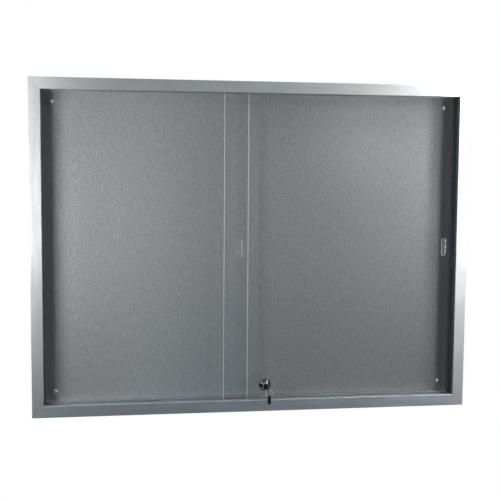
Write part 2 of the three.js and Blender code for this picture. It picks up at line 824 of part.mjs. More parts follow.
// Sleeves and the caps that close them
const sleeveFront = caseDepth - fabricFront - seatGap;
for (const { name, x, z } of fixings) {
  addPiece(`sleeve_${name}`, fixingTurning([
    [sleeveBore, sleeveRecess],
    [sleeveRadius, sleeveRecess],
    [sleeveRadius, sleeveFront],
    [sleeveBore, sleeveFront],
    [sleeveBore, sleeveRecess],
  ], x, z), 'steel');
  const capSeat = caseDepth - fabricFront + seatGap;
  const dome = capDomeShares.map(([r, h]) => [r * capRadius, capSeat + h * capHeight]);
  addPiece(`cap_${name}`, fixingTurning([
    [0, capSeat - capStemEnd],
    [capStemRadius, capSeat - capStemEnd],
    [capStemRadius, capSeat],
    ...dome,
  ], x, z), 'whitePlastic');
}

// Panel screws
for (const { sideName, number, x, z } of screws) {
  addPiece(`panel_screw_${sideName}_${number}`, screwBody(0).translate(x, 0, z), 'steel');
}

export default group;
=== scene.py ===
"""Dresses the lockable notice board: a mitred aluminium case with a felt-faced pin board, two
sliding glass doors, and a push lock with its key, shown in a plain white studio."""

import logging
import math
from contextlib import contextmanager
from dataclasses import dataclass
from enum import Enum
from typing import Any, Iterator, Optional, Sequence, Union

import bpy
from mathutils import Matrix, Vector


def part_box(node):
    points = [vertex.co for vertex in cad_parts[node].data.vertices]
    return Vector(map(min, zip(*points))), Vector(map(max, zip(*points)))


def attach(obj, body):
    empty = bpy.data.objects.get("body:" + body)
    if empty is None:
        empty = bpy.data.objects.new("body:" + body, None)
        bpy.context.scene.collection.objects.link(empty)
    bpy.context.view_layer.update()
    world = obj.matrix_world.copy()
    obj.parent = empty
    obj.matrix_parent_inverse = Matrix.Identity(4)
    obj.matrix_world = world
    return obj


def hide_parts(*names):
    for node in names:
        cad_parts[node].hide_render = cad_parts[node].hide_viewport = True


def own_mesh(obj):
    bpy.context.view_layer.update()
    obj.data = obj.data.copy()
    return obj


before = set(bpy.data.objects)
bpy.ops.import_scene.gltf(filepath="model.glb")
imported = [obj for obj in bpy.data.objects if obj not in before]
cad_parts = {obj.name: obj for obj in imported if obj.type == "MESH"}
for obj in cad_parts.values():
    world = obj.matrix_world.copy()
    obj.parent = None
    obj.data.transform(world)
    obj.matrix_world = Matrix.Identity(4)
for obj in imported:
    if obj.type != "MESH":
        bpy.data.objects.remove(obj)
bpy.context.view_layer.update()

MM = 0.001
HALF = 0.5
BLACK = (0.0, 0.0, 0.0)
WHITE = (1.0, 1.0, 1.0)
GLASS_FRONT = -40.7 * MM

log = logging.getLogger("notice_board")
Number = Union["Signal", float]
Triple = tuple[float, float, float]
Colour = Triple
Grains = Union[float, Triple]
Span = tuple[float, float]
Profile = tuple[tuple[float, float], ...]


# Shader maths


class Signal:
    """A shader socket in a Python expression, where each operator adds its own Math node."""

    def __init__(self, graph: "Graph", socket: bpy.types.NodeSocket) -> None:
        """Wraps an output socket of the graph's node tree."""
        self.graph = graph
        self.socket = socket

    def _math(self, operation: str, *operands: Number) -> "Signal":
        """Adds one Math node with its inputs in order."""
        return self.graph.add("ShaderNodeMath", {"operation": operation}, dict(enumerate(operands)))

    def __add__(self, other: Number) -> "Signal":
        """Self plus other."""
        return self._math("ADD", self, other)

    def __radd__(self, other: Number) -> "Signal":
        """Other plus self."""
        return self._math("ADD", other, self)

    def __sub__(self, other: Number) -> "Signal":
        """Self minus other."""
        return self._math("SUBTRACT", self, other)

    def __rsub__(self, other: Number) -> "Signal":
        """Other minus self."""
        return self._math("SUBTRACT", other, self)

    def __mul__(self, other: Number) -> "Signal":
        """Self times other."""
        return self._math("MULTIPLY", self, other)

    def __rmul__(self, other: Number) -> "Signal":
        """Other times self."""
        return self._math("MULTIPLY", other, self)

    def __pow__(self, other: Number) -> "Signal":
        """Self to the power of other."""
        return self._math("POWER", self, other)

    def __gt__(self, other: Number) -> "Signal":
        """1 where self is above other."""
        return self._math("GREATER_THAN", self, other)

    def __lt__(self, other: Number) -> "Signal":
        """1 where self is below other."""
        return self._math("LESS_THAN", self, other)

    def __or__(self, other: Number) -> "Signal":
        """The larger of two masks."""
        return self._math("MAXIMUM", self, other)

    def __abs__(self) -> "Signal":
        """The size of self without its sign."""
        return self._math("ABSOLUTE", self)

    def wave(self) -> "Signal":
        """The sine of self."""
        return self._math("SINE", self)

    def between(self, low: float, high: float) -> "Signal":
        """1 where self lies between low and high."""
        return (self > low) * (self < high)

    def eased(self, low: float, high: float) -> "Signal":
        """Rises smoothly from 0 to 1 while self goes from low to high."""
        limits = {"Value": self, "From Min": low, "From Max": high}
        return self.graph.add("ShaderNodeMapRange", {"interpolation_type": "SMOOTHSTEP"}, limits)


def _colour(value: Any) -> Any:
    """A colour with its alpha, or the link that it already is."""
    return value if isinstance(value, Signal) else (*value, 1.0)


class Graph:
    """One node tree, with one method that makes its nodes."""

    def __init__(self, tree: bpy.types.NodeTree) -> None:
        """Empties a material's or a world's node tree."""
        self.tree = tree
        tree.nodes.clear()

    def add(
        self,
        kind: str,
        settings: Optional[dict[str, Any]] = None,
        inputs: Optional[dict[Union[str, int], Any]] = None,
        output: Union[str, int] = 0,
    ) -> Signal:
        """Adds a node.

        Args:
            kind: The node's type.
            settings: Its own settings, such as an operation, set before its sockets.
            inputs: Values or links of its sockets, by name or number.
            output: The output to return.

        Returns:
            That output.
        """
        node = self.tree.nodes.new(kind)
        for name, value in (settings or {}).items():
            setattr(node, name, value)
        for key, value in (inputs or {}).items():
            if isinstance(value, Signal):
                self.tree.links.new(value.socket, node.inputs[key])
            else:
                node.inputs[key].default_value = value
        return Signal(self, node.outputs[output])

    def place(self) -> Signal:
        """The object's own coordinates, in metres."""
        return self.add("ShaderNodeTexCoord", output="Object")

    def ray(self, kind: str) -> Signal:
        """1 on rays of a kind, such as Shadow or Camera."""
        return self.add("ShaderNodeLightPath", output=f"Is {kind} Ray")

    def parts(self, vector: Signal) -> tuple[Signal, ...]:
        """The X, Y and Z parts of a vector."""
        outputs = self.add("ShaderNodeSeparateXYZ", {}, {"Vector": vector}).socket.node.outputs
        return tuple(Signal(self, output) for output in outputs)

    def vector(self, operation: str, first: Any, second: Any = BLACK) -> Signal:
        """Joins two vectors by a Vector Math operation, or changes the first one."""
        return self.add("ShaderNodeVectorMath", {"operation": operation}, {0: first, 1: second})

    def combined(self, x: Number, y: Number, z: Number) -> Signal:
        """A vector of three numbers."""
        return self.add("ShaderNodeCombineXYZ", {}, {"X": x, "Y": y, "Z": z})

    def noise(self, per_metre: Grains, detail: float = 2.0, seed: float = 0.0) -> Signal:
        """Fractal noise on the object's own coordinates.

        Args:
            per_metre: Grains to the metre, in every direction or along X, Y and Z.
            detail: How many finer layers it holds.
            seed: A shift that gives another pattern.

        Returns:
            Noise from 0 to 1, about 0.5.
        """
        scale = (per_metre,) * 3 if isinstance(per_metre, float) else per_metre
        spread = {"Vector": self.place(), "Location": (seed,) * 3, "Scale": scale}
        grain = self.add("ShaderNodeMapping", {}, spread)
        inputs = {"Vector": grain, "Scale": 1.0, "Detail": detail, "Roughness": 0.55}
        return self.add("ShaderNodeTexNoise", {}, inputs)

    def cells(self, per_metre: float, output: str = "Distance") -> Signal:
        """A Voronoi pattern on the object's own coordinates: its distances or its colours."""
        inputs = {"Vector": self.place(), "Scale": per_metre}
        return self.add("ShaderNodeTexVoronoi", {}, inputs, output)

    def mixed(self, share: Number, first: Any, second: Any) -> Signal:
        """Mixes two colours by a share from 0 to 1."""
        inputs = {0: share, 6: _colour(first), 7: _colour(second)}
        return self.add("ShaderNodeMix", {"data_type": "RGBA"}, inputs, 2)

    def bump(self, height: Signal, depth: float, strength: float = 1.0) -> Signal:
        """A normal for a height from 0 to 1 that stands for a depth in metres."""
        inputs = {"Height": height, "Distance": depth, "Strength": strength}
        return self.add("ShaderNodeBump", {}, inputs)

    def surface(self, shade: Any, **sockets: Any) -> Signal:
        """A Principled shader of a colour; underscores in the other names stand for spaces."""
        named = {name.replace("_", " "): value for name, value in sockets.items()}
        return self.add("ShaderNodeBsdfPrincipled", {}, {"Base Color": _colour(shade), **named})

    def metal(self, shade: Signal, gloss: Signal, normal: Signal) -> Signal:
        """A bare metal with a colour, a roughness and a normal that vary."""
        return self.surface(shade, Metallic=1.0, Roughness=gloss, Normal=normal)

    def glow(self, kind: str, colour: Any, strength: float) -> Signal:
        """A Background or an Emission shader."""
        inputs = {"Color": _colour(colour), "Strength": strength}
        return self.add(f"ShaderNode{kind}", {}, inputs)

    def blended(self, share: Number, first: Signal, second: Signal) -> Signal:
        """Mixes two shaders by a share from 0 to 1."""
        return self.add("ShaderNodeMixShader", {}, {0: share, 1: first, 2: second})

    def show(self, kind: str, shader: Signal) -> None:
        """Links a shader to a new Material or World output."""
        node = self.tree.nodes.new(f"ShaderNodeOutput{kind}")
        self.tree.links.new(shader.socket, node.inputs["Surface"])


# Finishes


def scaled(tone: Colour, share: float) -> Colour:
    """A tone made darker by a share below 1, or lighter by one above 1."""
    return tuple(share * part for part in tone)


class Run(Enum):
    """The direction in which a metal was drawn and brushed."""

    ALONG_X = (1.0, 0.0, 0.0)
    ALONG_Z = (0.0, 0.0, 1.0)


@dataclass(frozen=True)
class Finish:
    """A finish by name, which is made once and shared by the pieces that wear it."""

    name: str

    def material(self) -> bpy.types.Material:
        """Makes the finish's material on first use.

        Returns:
            The material.
        """
        made = bpy.data.materials.get(self.name)
        if made is None:
            made = bpy.data.materials.new(self.name)
            made.use_nodes = True
            graph = Graph(made.node_tree)
            graph.show("Material", self.shader(graph))
        return made

    def shader(self, graph: Graph) -> Signal:
        """Builds the finish's shader.

        Args:
            graph: The material's node tree.

        Returns:
            The shader.
        """
        raise NotImplementedError

    def dress(self, *pieces: Union[str, bpy.types.Object]) -> None:
        """Puts the finish on pieces.

        Args:
            pieces: Objects, or CAD nodes by name.
        """
        for piece in pieces:
            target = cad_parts[piece] if isinstance(piece, str) else piece
            target.data.materials.clear()
            target.data.materials.append(self.material())


@dataclass(frozen=True)
class AnodisedAluminium(Finish):
    """Satin anodised aluminium, with fine drawing lines along the profile."""

    run: Run
    tone: Colour = (0.72, 0.735, 0.745)
    line_pitch: float = 0.45 * MM
    line_length: float = 90 * MM
    line_tilt: float = 0.34
    line_gloss: float = 0.1
    roughness: float = 0.47
    patches: float = 14.0
    patch_shade: float = 0.93
    patch_gloss: float = 0.12
    inner_edge: float = 474.4 * MM
    flank_shade_tone: Colour = (0.18, 0.2, 0.22)

    def shader(self, graph: Graph) -> Signal:
        """Tilts the normal across the drawing lines, which spreads highlights across them.

        The side rails' flanks inside the case get a darker colour. This is painted shade for the
        shade inside the case, and it dims the light they bounce onto the felt.

        Args:
            graph: The material's node tree.

        Returns:
            The shader.
        """
        along = self.run.value
        fine = tuple(1 / (self.line_length if share else self.line_pitch) for share in along)
        lines = graph.noise(fine, detail=1.0)
        tilt = (lines - HALF) * self.line_tilt
        across = graph.combined(*[tilt * (1 - share) for share in along])
        normal = graph.add("ShaderNodeNewGeometry", output="Normal")
        brushed = graph.vector("NORMALIZE", graph.vector("ADD", normal, across))
        handled = graph.noise(self.patches, detail=3.0, seed=3.0)
        dull = scaled(self.tone, self.patch_shade)
        shade = graph.mixed(handled.eased(0.3, 0.7), self.tone, dull)
        # Painted shade: inside the case the side rails' flanks get a dark tone in place of the
        # shade there.
        if self.run is Run.ALONG_Z:
            shaded_flank = abs(graph.parts(graph.place())[0]) < self.inner_edge
            shade = graph.mixed(shaded_flank, shade, self.flank_shade_tone)
        worn = (handled - HALF) * self.patch_gloss + (lines - HALF) * self.line_gloss
        return graph.metal(shade, self.roughness + worn, brushed)


@dataclass(frozen=True)
class CastMetal(Finish):
    """Rough die-cast metal with a grainy skin."""

    tone: Colour
    grain: float = 0.5 * MM
    grain_gloss: float = 0.3
    relief: float = 0.04 * MM
    roughness: float = 0.5
    patches: float = 40.0
    patch_shade: float = 0.8

    def shader(self, graph: Graph) -> Signal:
        """Puts the grain in the relief and in the gloss.

        Args:
            graph: The material's node tree.

        Returns:
            The shader.
        """
        grain = graph.noise(1 / self.grain, detail=3.0)
        cloud = graph.noise(self.patches, seed=5.0).eased(0.3, 0.7)
        shade = graph.mixed(cloud, self.tone, scaled(self.tone, self.patch_shade))
        gloss = self.roughness + (grain - HALF) * self.grain_gloss
        return graph.metal(shade, gloss, graph.bump(grain, self.relief))


@dataclass(frozen=True)
class TurnedMetal(Finish):
    """Plated metal with the fine rings that a lathe leaves round an axis along Y."""

    tone: Colour
    centre: tuple[float, float]
    ring_pitch: float = 0.35 * MM
    ring_strength: float = 0.5
    relief: float = 0.003 * MM
    roughness: float = 0.1
    patches: float = 160.0
    patch_shade: float = 0.9
    patch_gloss: float = 0.14

    def shader(self, graph: Graph) -> Signal:
        """Lays rings round the axis, broken by faint smears.

        Args:
            graph: The material's node tree.

        Returns:
            The shader.
        """
        x, _, z = graph.parts(graph.place())
        reach = ((x - self.centre[0]) ** 2.0 + (z - self.centre[1]) ** 2.0) ** HALF
        rings = (reach * (math.tau / self.ring_pitch)).wave()
        smear = graph.noise(self.patches, detail=3.0)
        gloss = self.roughness + smear.eased(0.45, 0.8) * self.patch_gloss
        dull = scaled(self.tone, self.patch_shade)
        shade = graph.mixed(smear.eased(0.3, 0.8), self.tone, dull)
        return graph.metal(shade, gloss, graph.bump(rings, self.relief, self.ring_strength))


@dataclass(frozen=True)
class PlatedSteel(Finish):
    """Nickel, zinc or chrome plated steel with drawing marks and rubbed patches."""

    tone: Colour
    marks: Grains
    roughness: float = 0.27
    mark_gloss: float = 0.1
    relief: float = 0.01 * MM
    patches: float = 220.0
    patch_shade: float = 0.8
    patch_gloss: float = 0.2

    def shader(self, graph: Graph) -> Signal:
        """Puts marks in the relief, and rubbed patches in the gloss and the colour.

        Args:
            graph: The material's node tree.

        Returns:
            The shader.
        """
        marks = graph.noise(self.marks)
        rubbed = graph.noise(self.patches, detail=4.0, seed=8.0)
        dull = scaled(self.tone, self.patch_shade)
        shade = graph.mixed(rubbed.eased(0.35, 0.7), self.tone, dull)
        worn = (rubbed - HALF) * self.patch_gloss + (marks - HALF) * self.mark_gloss
        return graph.metal(shade, self.roughness + worn, graph.bump(marks, self.relief))


@dataclass(frozen=True)
class ZincSheet(Finish):
    """Hot-dip zinc on sheet steel, with its crystal spangle."""

    tone: Colour = (0.56, 0.58, 0.59)
    spangles: float = 70.0
    spangle_share: float = 0.7
    spangle_gloss: float = 0.14
    dull_shade: float = 0.78
    relief: float = 0.02 * MM
    relief_strength: float = 0.6
    roughness: float = 0.36
    patches: float = 9.0

    def shader(self, graph: Graph) -> Signal:
        """Gives each crystal its own grey and gloss.

        Args:
            graph: The material's node tree.

        Returns:
            The shader.
        """
        grey = graph.parts(graph.cells(self.spangles, "Color"))[0]
        cloud = graph.noise(self.patches, detail=3.0)
        share = grey * self.spangle_share + cloud * (1 - self.spangle_share)
        shade = graph.mixed(share, self.tone, scaled(self.tone, self.dull_shade))
        gloss = self.roughness + grey * self.spangle_gloss
        crystals = graph.cells(self.spangles)
        return graph.metal(shade, gloss, graph.bump(crystals, self.relief, self.relief_strength))


@dataclass(frozen=True)
class Plastic(Finish):
    """Moulded or extruded plastic with a fine grain."""

    tone: Colour
    roughness: float = 0.42
    grain: float = 0.4 * MM
    relief: float = 0.012 * MM
    dust: float = 0.06
    shine: float = 0.5
    patches: float = 60.0
    patch_gloss: float = 0.16

    def shader(self, graph: Graph) -> Signal:
        """Puts the grain in the relief, and a little dust in the colour.

        Args:
            graph: The material's node tree.

        Returns:
            The shader.
        """
        grain = graph.noise(1 / self.grain)
        patch = graph.noise(self.patches, detail=4.0, seed=2.0)
        dusty = tuple(part + (HALF - part) * self.dust for part in self.tone)
        return graph.surface(
            graph.mixed(patch.eased(0.4, 0.75), self.tone, dusty),
            Roughness=self.roughness + (patch - HALF) * self.patch_gloss,
            Normal=graph.bump(grain, self.relief),
            Specular_IOR_Level=self.shine,
        )


@dataclass(frozen=True)
class Felt(Finish):
    """Needled felt: matted fibres with shallow dimples from the needles."""

    tone: Colour = (0.44, 0.437, 0.452)
    dark_shade: float = 0.76
    light_shade: float = 1.21
    dimple: float = 3.8 * MM
    dimple_share: float = 0.6
    streak_stretch: float = 0.22
    fibre: float = 0.5 * MM
    matted_tint: float = 0.75
    matted_relief: float = 0.65
    relief: float = 0.7 * MM
    relief_strength: float = 0.8

    def shader(self, graph: Graph) -> Signal:
        """Puts dimples and fibres in the relief, and tufts of lighter fibre in the colour.

        Args:
            graph: The material's node tree.

        Returns:
            The shader.
        """
        dimples = graph.noise(1 / self.dimple, detail=3.0)
        upright = (1 / self.dimple, 1 / self.dimple, self.streak_stretch / self.dimple)
        fibres = graph.noise(1 / self.fibre, detail=4.0, seed=6.0)
        streaks = graph.noise(upright, seed=4.0)
        matted = dimples * self.dimple_share + streaks * (1 - self.dimple_share)
        tufts = matted.eased(0.32, 0.68) * self.matted_tint
        share = tufts + fibres.eased(0.25, 0.75) * (1 - self.matted_tint)
        dark, light = scaled(self.tone, self.dark_shade), scaled(self.tone, self.light_shade)
        relief = matted * self.matted_relief + fibres * (1 - self.matted_relief)
        return graph.surface(
            graph.mixed(share, dark, light),
            Roughness=0.95,
            Normal=graph.bump(relief, self.relief, self.relief_strength),
            Specular_IOR_Level=0.15,
            Sheen_Weight=0.04,
            Sheen_Roughness=0.6,
        )


@dataclass(frozen=True)
class FibreBoard(Finish):
    """Soft pressed wood fibre."""

    tone: Colour = (0.36, 0.27, 0.16)
    dark_shade: float = 0.7
    fibres: Grains = (900.0, 2500.0, 900.0)
    relief: float = 0.2 * MM

    def shader(self, graph: Graph) -> Signal:
        """Puts coarse fibres in the colour and in the relief.

        Args:
            graph: The material's node tree.

        Returns:
            The shader.
        """
        fibres = graph.noise(self.fibres, detail=4.0)
        dark = scaled(self.tone, self.dark_shade)
        shade = graph.mixed(fibres.eased(0.3, 0.7), self.tone, dark)
        return graph.surface(shade, Roughness=0.92, Normal=graph.bump(fibres, self.relief))


@dataclass(frozen=True)
class Rubber(Finish):
    """Black rubber with a dull bloom."""

    tone: Colour = (0.022, 0.022, 0.024)
    bloom_tone: Colour = (0.05, 0.05, 0.052)
    blooms: float = 300.0
    grains: float = 3000.0
    relief: float = 0.02 * MM

    def shader(self, graph: Graph) -> Signal:
        """Puts bloom in the colour, and grain in the relief.

        Args:
            graph: The material's node tree.

        Returns:
            The shader.
        """
        bloom = graph.noise(self.blooms, detail=3.0)
        shade = graph.mixed(bloom.eased(0.4, 0.8), self.tone, self.bloom_tone)
        normal = graph.bump(graph.noise(self.grains), self.relief)
        return graph.surface(shade, Roughness=0.72, Normal=normal)


@dataclass(frozen=True)
class GroundPull:
    """A finger pull ground into a pane, by where it starts and ends along X.

    Its haze is that of its floor, and what its border and its deep edge add to that.
    """

    start: float
    end: float
    deep_edge: float
    haze: Triple
    tone: Colour


@dataclass(frozen=True)
class Pane(Finish):
    """Clear float glass with satin ground edges and, where the pane has them, ground pulls."""

    box: tuple[Vector, Vector]
    arris: float = 0.9 * MM
    pulls: tuple[GroundPull, ...] = ()
    overlap: Optional[Span] = None
    overlap_share: float = 0.65
    pull_half_height: float = 20.5 * MM
    pull_skin: float = 0.12 * MM
    pull_brink: float = 4.2 * MM
    pull_border: float = 1.3 * MM
    pull_past_middle: float = 0.2 * MM
    deep_border: float = 1.4 * MM
    edge_haze: float = 1.0
    face_gloss: float = 0.04
    grazing_power: float = 5.0
    smears: float = 26.0
    smear_gloss: float = 0.02
    passed_tint: Colour = (0.985, 0.99, 0.988)
    tint: Colour = (0.975, 0.979, 0.98)
    ground_tone: Colour = WHITE
    ground_dark: float = 0.12
    ground_grains: float = 4000.0
    ground_relief: float = 0.02 * MM

    def shader(self, graph: Graph) -> Signal:
        """Makes the pane clear inside its edges, and satin on them and in the pulls.

        Args:
            graph: The material's node tree.

        Returns:
            The shader.
        """
        low, high = self.box
        middle, reach = (low + high) * HALF, (high - low) * HALF
        x, y, z = graph.parts(graph.place())
        sides = abs(x - middle.x) > reach.x - self.arris
        ends = abs(z - middle.z) > reach.z - self.arris
        shadow = graph.ray("Shadow")
        ground = (sides | ends) * (shadow | self.edge_haze)
        veiled: Number = 0.0
        tone: Any = self.ground_tone
        for pull in self.pulls:
            sunk, haze = self._pull(pull, x, y, z)
            ground = ground | haze
            veiled = veiled + sunk
            tone = graph.mixed(sunk, tone, pull.tone)
        plain = shadow | graph.ray("Diffuse") | veiled
        if self.overlap:
            plain = plain | (x.between(*self.overlap) * self.overlap_share)
        see = graph.blended(plain, self._glass(graph), self._let_through(graph))
        return graph.blended(ground, see, self._satin(graph, tone))

    def _pull(self, pull: GroundPull, x: Signal, y: Signal, z: Signal) -> tuple[Signal, Signal]:
        """Marks out one pull.

        On the pane's front face it takes in the strip beside the deep edge, where the solid's
        edge leans.

        Args:
            pull: The pull.
            x: Where a point lies across.
            y: Where it lies in depth.
            z: Where it lies in height.

        Returns:
            A mask of the pull, and its haze.
        """
        low, high = self.box
        centre, half_width = (pull.start + pull.end) * HALF, (pull.end - pull.start) * HALF
        aside, above, from_deep = abs(x - centre), abs(z), abs(x - pull.deep_edge)
        skin = low.y + self.pull_skin
        floor_end = (low.y + high.y) * HALF + self.pull_past_middle
        inside = (aside < half_width) * (above < self.pull_half_height)
        brink = inside * (from_deep < self.pull_brink) * (y < skin)
        sunk = brink | (inside * y.between(skin, floor_end))
        side_rim = aside > half_width - self.pull_border
        rim = side_rim | (above > self.pull_half_height - self.pull_border)
        deep = from_deep < self.deep_border
        floor, border, edge = pull.haze
        return sunk, sunk * (floor + rim * border + deep * edge)

    def _glass(self, graph: Graph) -> Signal:
        """The glass itself, with faint smears."""
        gloss = graph.noise(self.smears, detail=4.0).eased(0.6, 0.85) * self.smear_gloss
        return graph.surface(self.tint, Roughness=gloss, Transmission_Weight=1.0, IOR=1.5)

    def _let_through(self, graph: Graph) -> Signal:
        """What goes straight through the glass, less at grazing angles.

        Args:
            graph: The material's node tree.

        Returns:
            The shader.
        """
        grazing = graph.add("ShaderNodeLayerWeight", {}, {"Blend": HALF}, "Facing")
        mirrored = self.face_gloss + grazing ** self.grazing_power * (1 - self.face_gloss)
        passed = graph.mixed(mirrored, self.passed_tint, BLACK)
        return graph.add("ShaderNodeBsdfTransparent", {}, {"Color": passed})

    def _satin(self, graph: Graph, tone: Any) -> Signal:
        """Ground glass with darker grains.

        Args:
            graph: The material's node tree.
            tone: Its colour.

        Returns:
            The shader.
        """
        grains = graph.noise(self.ground_grains)
        shade = graph.mixed(grains, tone, graph.mixed(self.ground_dark, tone, BLACK))
        return graph.surface(shade, Roughness=0.5, Normal=graph.bump(grains, self.ground_relief))


# Modelling


class Bench:
    """Models pieces by Blender's own operators, in edit mode where they are shaped."""

    @staticmethod
    def clear() -> None:
        """Leaves edit mode and deselects every object."""
        if bpy.context.object and bpy.context.object.mode != "OBJECT":
            bpy.ops.object.mode_set(mode="OBJECT")
        bpy.ops.object.select_all(action="DESELECT")

    @classmethod
    def pick(cls, piece: bpy.types.Object) -> None:
        """Selects one piece alone.

        Args:
            piece: The piece, which becomes the active one.
        """
        cls.clear()
        piece.select_set(True)
        bpy.context.view_layer.objects.active = piece

    @classmethod
    @contextmanager
    def editing(cls, piece: bpy.types.Object) -> Iterator[None]:
        """Keeps a piece in edit mode, with all of it selected at first.

        Args:
            piece: The piece.

        Returns:
            A context, which leaves edit mode at its end.
        """
        cls.pick(piece)
        bpy.ops.object.mode_set(mode="EDIT")
        bpy.ops.mesh.select_all(action="SELECT")
        yield
        bpy.ops.object.mode_set(mode="OBJECT")

    @staticmethod
    def named(name: str) -> bpy.types.Object:
        """Names the object that was just added, and its mesh.

        Args:
            name: The piece's name.

        Returns:
            The object.
        """
        piece = bpy.context.object
        piece.name = piece.data.name = name
        return piece

    @classmethod
    def turned(cls, name: str, profile: Profile, steps: int = 96) -> bpy.types.Object:
        """Turns a profile about Z by extruding a ring of edges from point to point.

        Args:
            name: The piece's name.
            profile: Radius and height of each point in millimetres. It closes on itself where
                its last point is its first; otherwise both ends are capped.
            steps: How many facets go round.

        Returns:
            The turned piece, at the origin.
        """
        cls.clear()
        fill = "NOTHING" if profile[0] == profile[-1] else "NGON"
        radius, height = profile[0]
        bpy.ops.mesh.primitive_circle_add(
            vertices=steps, radius=radius * MM, fill_type=fill, location=(0, 0, 0)
        )
        piece = cls.named(name)
        with cls.editing(piece):
            bpy.ops.transform.translate(value=(0, 0, height * MM))
            for next_radius, next_height in profile[1:]:
                rise = (0, 0, (next_height - height) * MM)
                bpy.ops.mesh.extrude_region_move(TRANSFORM_OT_translate={"value": rise})
                share = next_radius / radius
                centre = (0, 0, next_height * MM)
                bpy.ops.transform.resize(value=(share, share, 1), center_override=centre)
                radius, height = next_radius, next_height
            bpy.ops.mesh.select_all(action="SELECT")
            bpy.ops.mesh.remove_doubles(threshold=0.0005 * MM)
            bpy.ops.mesh.normals_make_consistent(inside=False)
        return piece

    @classmethod
    def block(cls, name: str, size: Sequence[float], centre: Sequence[float]) -> bpy.types.Object:
        """Adds a block for cutting.

        Args:
            name: Its name.
            size: Its size in metres.
            centre: Its middle in metres.

        Returns:
            The block.
        """
        cls.clear()
        bpy.ops.mesh.primitive_cube_add(size=1, location=centre)
        piece = cls.named(name)
        piece.scale = size
        cls.settle(piece)
        return piece

    @classmethod
    def copy_of(cls, name: str, node: str) -> bpy.types.Object:
        """Copies a CAD node's mesh and merges its loose triangles.

        Args:
            name: The copy's name.
            node: The CAD node.

        Returns:
            The copy.
        """
        copy = bpy.data.objects.new(name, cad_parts[node].data.copy())
        copy.data.name = name
        bpy.context.scene.collection.objects.link(copy)
        with cls.editing(copy):
            bpy.ops.mesh.remove_doubles(threshold=0.001 * MM)
            bpy.ops.mesh.dissolve_limited(angle_limit=math.radians(1))
        return copy

    @staticmethod
    def duplicate(piece: bpy.types.Object, name: str) -> bpy.types.Object:
        """Copies a piece with its own mesh.

        Args:
            piece: The piece.
            name: The copy's name.

        Returns:
            The copy.
        """
        copy = piece.copy()
        copy.data = piece.data.copy()
        copy.name = copy.data.name = name
        bpy.context.scene.collection.objects.link(copy)
        return copy

    @classmethod
    def apply(cls, piece: bpy.types.Object, kind: str, **settings: Any) -> None:
        """Adds one modifier and applies it.

        Args:
            piece: The piece to change.
            kind: The modifier's type.
            settings: Its settings.
        """
        cls.pick(piece)
        modifier = piece.modifiers.new(kind.title(), kind)
        for name, value in settings.items():
            setattr(modifier, name, value)
        bpy.ops.object.modifier_apply(modifier=modifier.name)

    @classmethod
    def cut(cls, piece: bpy.types.Object, *cutters: bpy.types.Object) -> None:
        """Takes cutters out of a piece.

        Args:
            piece: The piece to cut.
            cutters: The cutters, which are removed.
        """
        for cutter in cutters:
            cls.apply(piece, "BOOLEAN", operation="DIFFERENCE", object=cutter, solver="EXACT")
            bpy.data.objects.remove(cutter)

    @classmethod
    def rounded(cls, piece: bpy.types.Object, width: float, angle: float) -> None:
        """Rounds the sharp edges and shades the rest smooth.

        Args:
            piece: The piece to round.
            width: The radius, in metres.
            angle: Edges sharper than this many degrees are rounded.
        """
        limit = {"limit_method": "ANGLE", "angle_limit": math.radians(angle)}
        cls.apply(piece, "BEVEL", width=width, segments=2, **limit)
        cls.smooth(piece, angle)

    @classmethod
    def smooth(cls, piece: bpy.types.Object, angle: float = 30.0) -> None:
        """Shades a piece smooth up to an angle in degrees."""
        cls.pick(piece)
        bpy.ops.object.shade_smooth_by_angle(angle=math.radians(angle))

    @classmethod
    def settle(cls, piece: bpy.types.Object) -> None:
        """Moves a piece's place, turn and scale into its mesh."""
        cls.pick(piece)
        bpy.ops.object.transform_apply(location=True, rotation=True, scale=True)

    @classmethod
    def set_down(cls, piece: bpy.types.Object, centre: Sequence[float]) -> None:
        """Puts a turned piece on an axis along Y, so that its heights run towards -Y.

        Args:
            piece: The piece, turned about Z.
            centre: The point that the piece's origin goes to, in metres.
        """
        piece.location = centre
        piece.rotation_euler = (math.radians(90), 0, 0)
        cls.settle(piece)


@dataclass(frozen=True)
class Coil:
    """A wire wound up the Z axis, in metres, with its facets round the wire and to the turn."""

    wire: float
    radius: float
    start: float
    rise: float
    turns: float
    sides: int
    steps: int
    flatness: float = 1.0

    def wound(self, name: str) -> bpy.types.Object:
        """Winds the wire and caps its two ends.

        Args:
            name: The piece's name.

        Returns:
            The coil, at the origin.
        """
        Bench.clear()
        bpy.ops.mesh.primitive_circle_add(
            vertices=self.sides,
            radius=self.wire,
            fill_type="NOTHING",
            location=(self.radius, 0, self.start),
            rotation=(math.radians(90), 0, 0),
        )
        piece = Bench.named(name)
        Bench.settle(piece)
        with Bench.editing(piece):
            centre = (self.radius, 0, 0)
            bpy.ops.transform.resize(value=(self.flatness, 1, 1), center_override=centre)
        steps = int(self.steps * self.turns)
        Bench.apply(
            piece,
            "SCREW",
            axis="Z",
            angle=math.tau * self.turns,
            screw_offset=self.rise,
            steps=steps,
            render_steps=steps,
            use_merge_vertices=True,
        )
        with Bench.editing(piece):
            bpy.ops.mesh.select_mode(type="EDGE")
            bpy.ops.mesh.select_all(action="DESELECT")
            bpy.ops.mesh.select_non_manifold()
            bpy.ops.mesh.fill_holes(sides=0)
            bpy.ops.mesh.select_all(action="SELECT")
            bpy.ops.mesh.normals_make_consistent(inside=False)
        return piece


def fitted(piece: bpy.types.Object, body: str, finish: Finish, node: str) -> None:
    """Dresses a new piece, makes it ride on a body and lets it stand for its CAD node.

    Args:
        piece: The new piece.
        body: The body that it moves with.
        finish: The finish.
        node: The CAD node that it stands for.
    """
    finish.dress(piece)
    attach(piece, body)
    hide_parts(node)
    log.info("%s rides on %s and stands for %s", piece.name, body, node)


def nodes_of(kind: str) -> list[str]:
    """The CAD nodes whose names start with a kind."""
    return [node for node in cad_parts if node.startswith(kind)]


